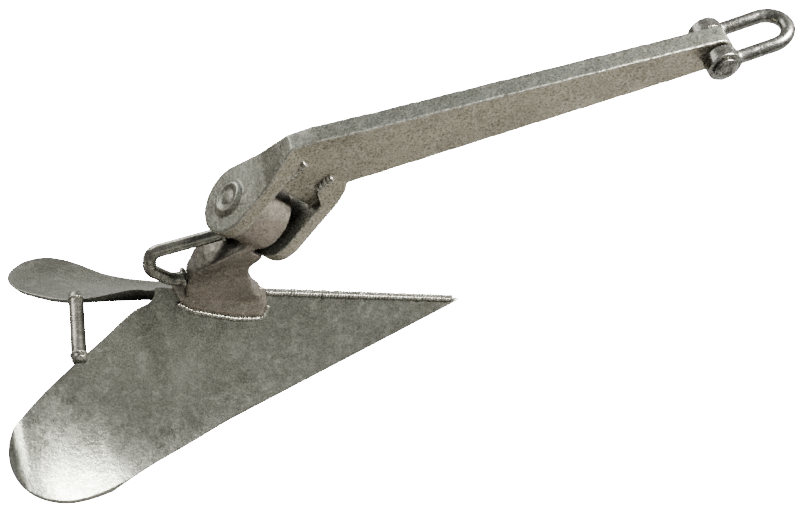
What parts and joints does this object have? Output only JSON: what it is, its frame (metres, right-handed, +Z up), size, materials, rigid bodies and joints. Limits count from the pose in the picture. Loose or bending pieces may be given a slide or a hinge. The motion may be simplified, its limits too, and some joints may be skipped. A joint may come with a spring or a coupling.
{
  "type": "boat anchor",
  "caption": "Hinged plough anchor in galvanised steel: V-shaped plough with tripping eye, swinging shank on a leaned hinge pin, and a bow shackle at its end.",
  "frame": {"origin": "centre of the bounding box at its base, with the anchor standing on the toe and the two low points of the mouldboards", "axes": "+X from the plough's rear towards the toe and the shackle, +Y to port, +Z up"},
  "size_m": [0.7604, 0.3024, 0.3382],
  "materials": {
    "plough_plate": "hot-dip galvanised, worn",
    "horn_casting": "hot-dip galvanised casting",
    "shank_steel": "hot-dip galvanised, mottled",
    "weld_metal": "galvanised weld bead",
    "bar": "galvanised round bar",
    "shackle_steel": "galvanised forging"
  },
  "bodies": {
    "plough": {"port_mouldboard": "plough_plate", "starboard_mouldboard": "plough_plate", "ridge_weld": "weld_metal", "horn": "horn_casting", "horn_saddle": "horn_casting", "port_saddle_weld": "weld_metal", "starboard_saddle_weld": "weld_metal", "tripping_eye": "bar", "upper_eye_weld": "weld_metal", "lower_eye_weld": "weld_metal", "cross_strut": "bar", "port_strut_weld": "weld_metal", "starboard_strut_weld": "weld_metal"},
    "shank": {"shank": "shank_steel", "upper_fork_arm": "shank_steel", "lower_fork_arm": "shank_steel", "port_upper_arm_weld": "weld_metal", "starboard_upper_arm_weld": "weld_metal", "port_lower_arm_weld": "weld_metal", "starboard_lower_arm_weld": "weld_metal", "hinge_pin": "shank_steel"},
    "shackle": {"shackle_bow": "shackle_steel", "shackle_pin": "shackle_steel"}
  },
  "joints": [
    {"name": "shank_swing", "type": "hinge", "parent": "plough", "child": "shank", "pos_m": [-0.1076, 0, 0.202], "axis": [-0.6374, 0, 0.7705], "range_deg": [-80, 83.6]},
    {"name": "shackle_swing", "type": "hinge", "parent": "shank", "child": "shackle", "pos_m": [0.31066, -0.01432, 0.31648], "axis": [0.0242, 0.9995, 0.02], "range_deg": [-138, 147]}
  ]
}
